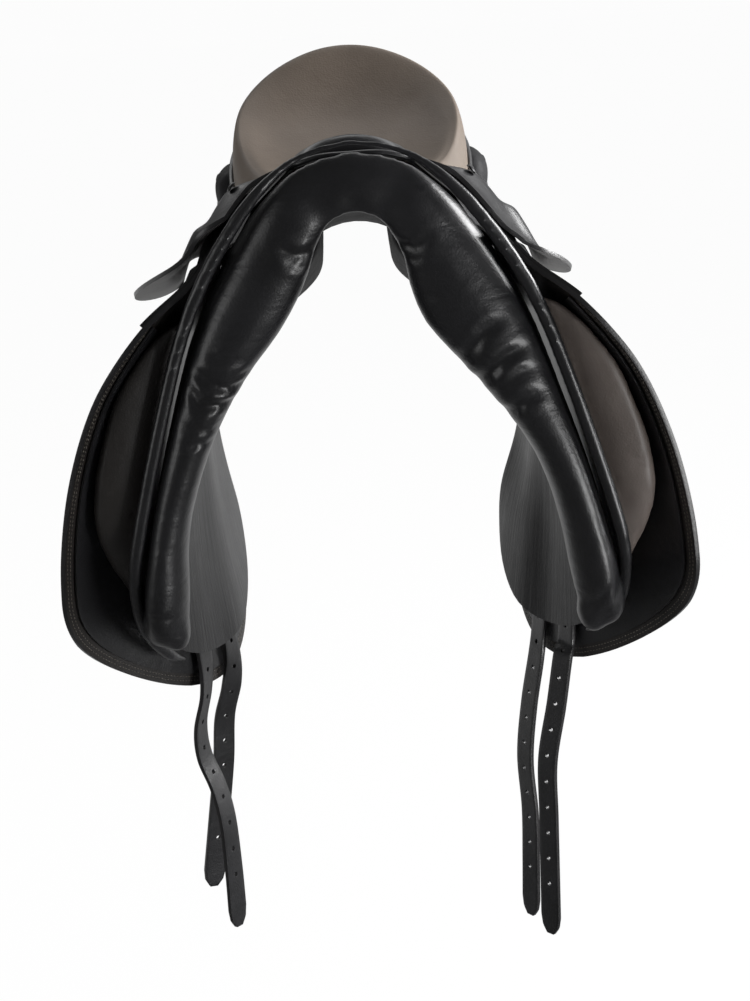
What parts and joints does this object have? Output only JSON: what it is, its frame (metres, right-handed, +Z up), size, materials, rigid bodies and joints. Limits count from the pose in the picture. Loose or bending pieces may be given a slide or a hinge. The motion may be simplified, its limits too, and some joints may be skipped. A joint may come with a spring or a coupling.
{
  "type": "dressage saddle",
  "caption": "Dressage saddle with deep taupe seat, black flaps over knee blocks, flocked panels, stirrup bars under lifting skirts and long punched girth billets.",
  "frame": {"origin": "on the centre line in the gullet channel, below the seat's lowest part", "axes": "+Z up, +Y from pommel to cantle, +X to the right in the picture, which is the saddle's left-hand side seen from the rider"},
  "size_m": [0.6092, 0.5009, 0.9337],
  "materials": {
    "black_leather": "smooth black saddle leather, half gloss",
    "taupe_leather": "soft matt taupe leather",
    "tree_wood": "laminated beech, varnished",
    "steel": "forged and polished",
    "webbing": "woven linen webbing",
    "foam": "seat foam and felt"
  },
  "bodies": {
    "saddle": {"tree": "tree_wood", "head_plate": "steel", "seat_webbing": "webbing", "seat_foam": "foam", "seat_cover": "taupe_leather", "seat_welt": "taupe_leather", "cantle_cover": "black_leather", "gullet_lining": "black_leather", "side_facing_left": "black_leather", "side_facing_right": "black_leather", "stirrup_bar_left": "steel", "stirrup_bar_right": "steel", "bar_rivets": "steel", "catch_pins": "steel", "girth_web_left": "webbing", "girth_web_right": "webbing", "panel_left": "black_leather", "panel_right": "black_leather", "front_roll_left": "black_leather", "front_roll_right": "black_leather", "rim_left": "black_leather", "rim_right": "black_leather", "sweat_flap_left": "black_leather", "sweat_flap_right": "black_leather", "knee_block_left": "taupe_leather", "knee_block_right": "taupe_leather"},
    "flap_left": {"flap_left": "black_leather", "flap_lining_left": "black_leather", "flap_guard_left": "black_leather"},
    "skirt_left": {"skirt_left": "black_leather", "skirt_nail_left": "steel"},
    "bar_catch_left": {"bar_catch_left": "steel"},
    "billet_left_front": {"billet_left_front": "black_leather"},
    "billet_left_rear": {"billet_left_rear": "black_leather"},
    "flap_right": {"flap_right": "black_leather", "flap_lining_right": "black_leather", "flap_guard_right": "black_leather"},
    "skirt_right": {"skirt_right": "black_leather", "skirt_nail_right": "steel"},
    "bar_catch_right": {"bar_catch_right": "steel"},
    "billet_right_front": {"billet_right_front": "black_leather"},
    "billet_right_rear": {"billet_right_rear": "black_leather"}
  },
  "joints": [
    {"name": "flap_lift_left", "type": "hinge", "parent": "saddle", "child": "flap_left", "pos_m": [-0.105, 0, 0.025], "axis": [-0.2332, 0.9287, -0.2885], "range_deg": [0, 50]},
    {"name": "skirt_lift_left", "type": "hinge", "parent": "flap_left", "child": "skirt_left", "pos_m": [-0.105, 0, 0.025], "axis": [-0.2332, 0.9287, -0.2885], "range_deg": [0, 40]},
    {"name": "catch_turn_left", "type": "hinge", "parent": "saddle", "child": "bar_catch_left", "pos_m": [-0.16583, -0.07552, -0.03268], "axis": [0.9317, -0.0561, -0.359], "range_deg": [0, 80]},
    {"name": "billet_swing_left_front", "type": "hinge", "parent": "saddle", "child": "billet_left_front", "pos_m": [-0.16661, -0.11116, -0.08803], "axis": [0.9139, -0.404, 0.0393], "range_deg": [-1.5, 1.5]},
    {"name": "billet_swing_left_rear", "type": "hinge", "parent": "saddle", "child": "billet_left_rear", "pos_m": [-0.16675, -0.06554, -0.10304], "axis": [0.9282, -0.3565, 0.1067], "range_deg": [-1, 3]},
    {"name": "flap_lift_right", "type": "hinge", "parent": "saddle", "child": "flap_right", "pos_m": [0.105, 0, 0.025], "axis": [-0.2332, -0.9287, 0.2885], "range_deg": [0, 50]},
    {"name": "skirt_lift_right", "type": "hinge", "parent": "flap_right", "child": "skirt_right", "pos_m": [0.105, 0, 0.025], "axis": [-0.2332, -0.9287, 0.2885], "range_deg": [0, 40]},
    {"name": "catch_turn_right", "type": "hinge", "parent": "saddle", "child": "bar_catch_right", "pos_m": [0.16583, -0.07552, -0.03268], "axis": [0.9317, 0.0561, 0.359], "range_deg": [0, 80]},
    {"name": "billet_swing_right_front", "type": "hinge", "parent": "saddle", "child": "billet_right_front", "pos_m": [0.16661, -0.11116, -0.08803], "axis": [0.9139, 0.404, -0.0393], "range_deg": [-1.5, 1.5]},
    {"name": "billet_swing_right_rear", "type": "hinge", "parent": "saddle", "child": "billet_right_rear", "pos_m": [0.16675, -0.06554, -0.10304], "axis": [0.9282, 0.3565, -0.1067], "range_deg": [-1, 3]}
  ]
}
